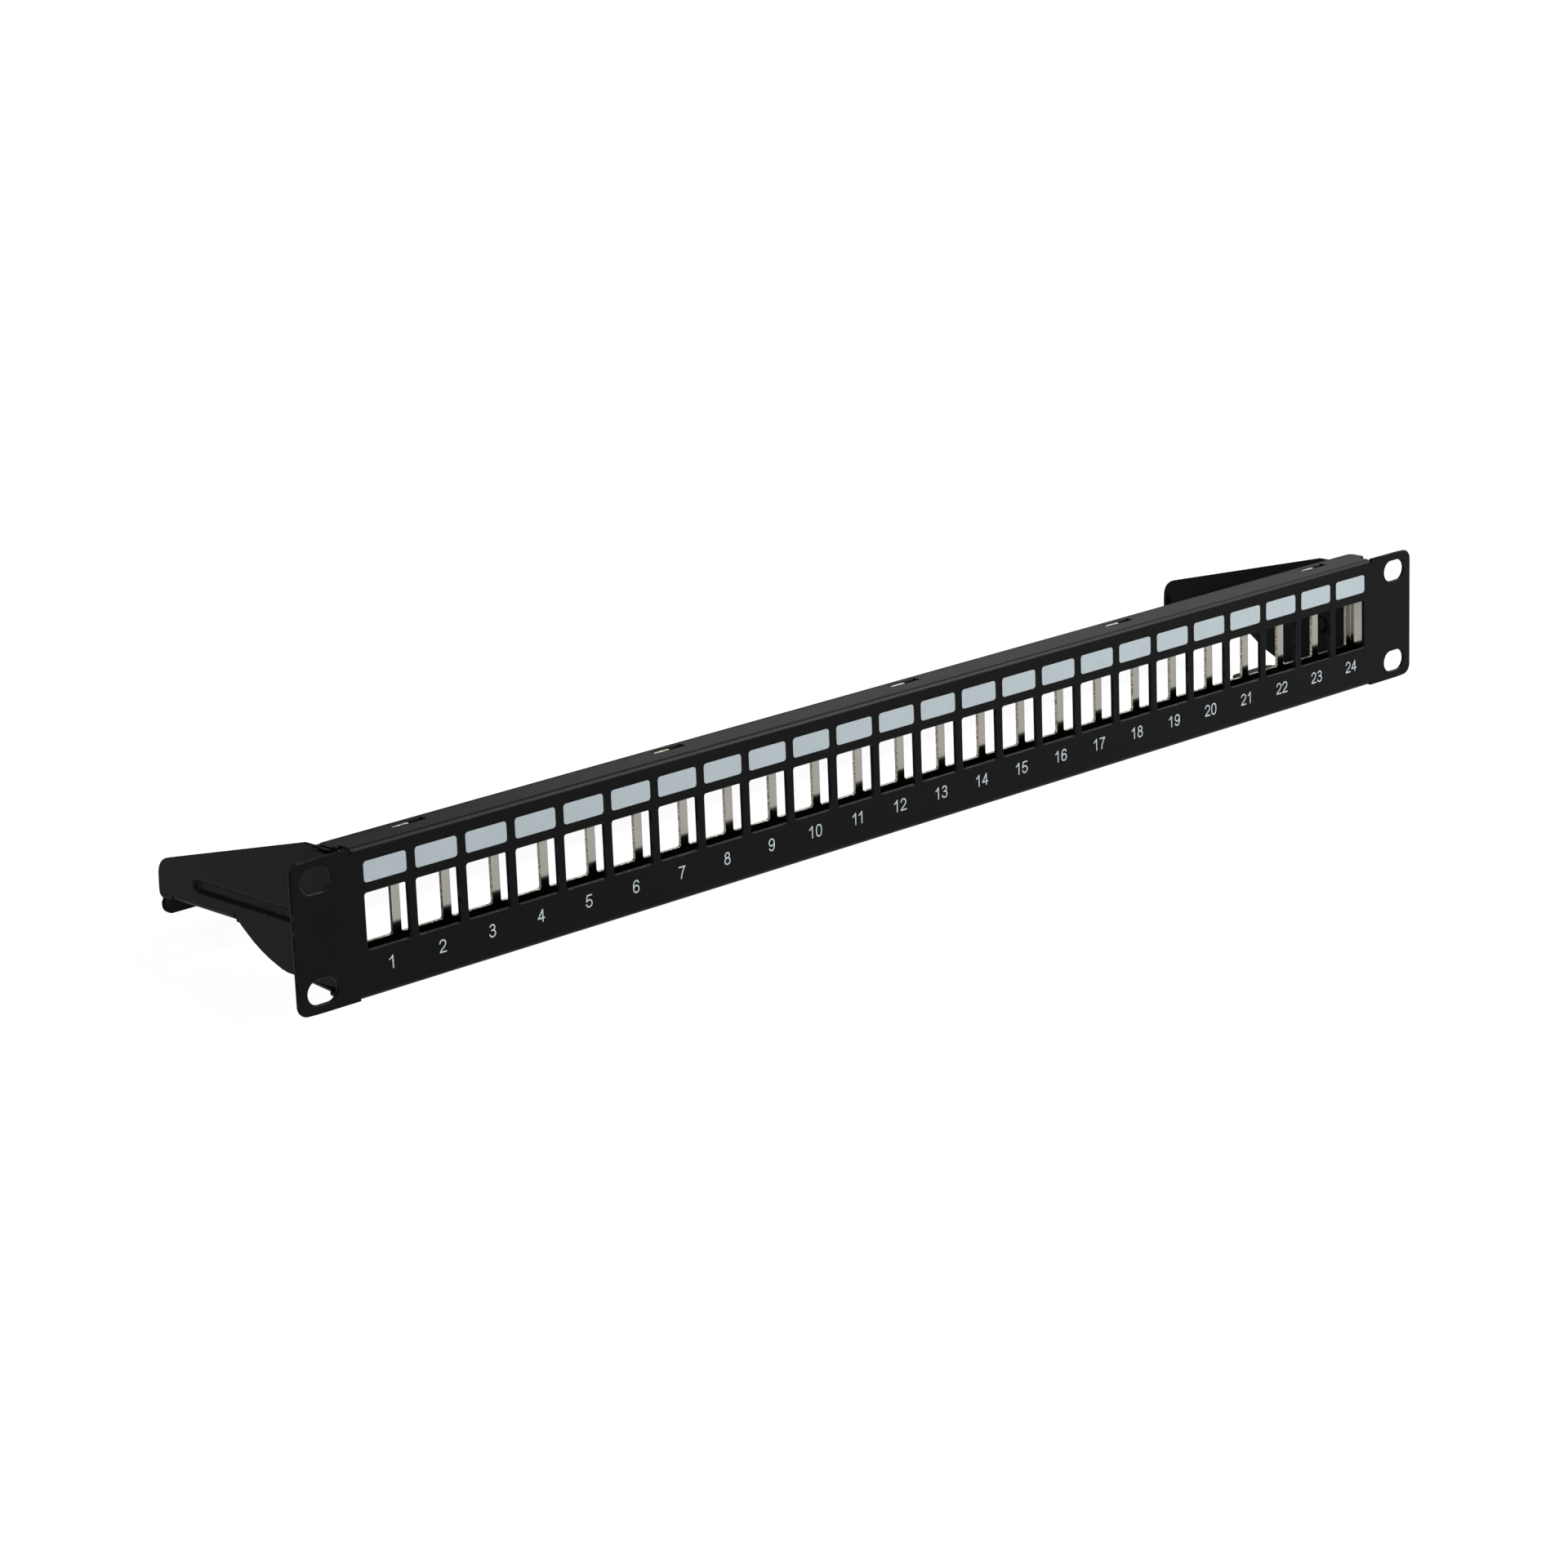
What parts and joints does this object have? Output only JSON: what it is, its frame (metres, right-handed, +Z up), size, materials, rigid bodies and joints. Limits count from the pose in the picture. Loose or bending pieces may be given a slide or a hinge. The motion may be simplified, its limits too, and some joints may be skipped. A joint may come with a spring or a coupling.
{
  "type": "patch panel",
  "caption": "Rack-wide keystone patch panel, one unit high and unloaded, with a plated latch frame behind its windows and a rear cable manager.",
  "frame": {"origin": "centre of the rack-slot pattern, on the back face of the ears, which seats on the rack rails", "axes": "+X to the right seen from the front, along the panel; +Y to the rear, away from the user; +Z up"},
  "size_m": [0.4826, 0.0932, 0.044],
  "materials": {
    "powder_coat": "satin, fine-textured powder coat, near black",
    "nickel_plate": "nickel-plated cold-rolled steel with sheared edges",
    "zinc_plate": "bright zinc plating",
    "label": "matt write-on label, pale blue-grey"
  },
  "bodies": {
    "panel": {"front_panel": "powder_coat", "cable_manager": "powder_coat", "manager_screws": "zinc_plate", "manager_washers": "zinc_plate", "ground_stud": "zinc_plate", "ground_washer": "zinc_plate", "ground_nut": "zinc_plate", "label_01": "label", "label_02": "label", "label_03": "label", "label_04": "label", "label_05": "label", "label_06": "label", "label_07": "label", "label_08": "label", "label_09": "label", "label_10": "label", "label_11": "label", "label_12": "label", "label_13": "label", "label_14": "label", "label_15": "label", "label_16": "label", "label_17": "label", "label_18": "label", "label_19": "label", "label_20": "label", "label_21": "label", "label_22": "label", "label_23": "label", "label_24": "label"},
    "latch": {"latch_frame": "nickel_plate"}
  },
  "joints": [
    {"name": "latch_frame_slide", "type": "slide", "parent": "panel", "child": "latch", "axis": [1, 0, 0], "range_m": [0, 0.0055]}
  ]
}
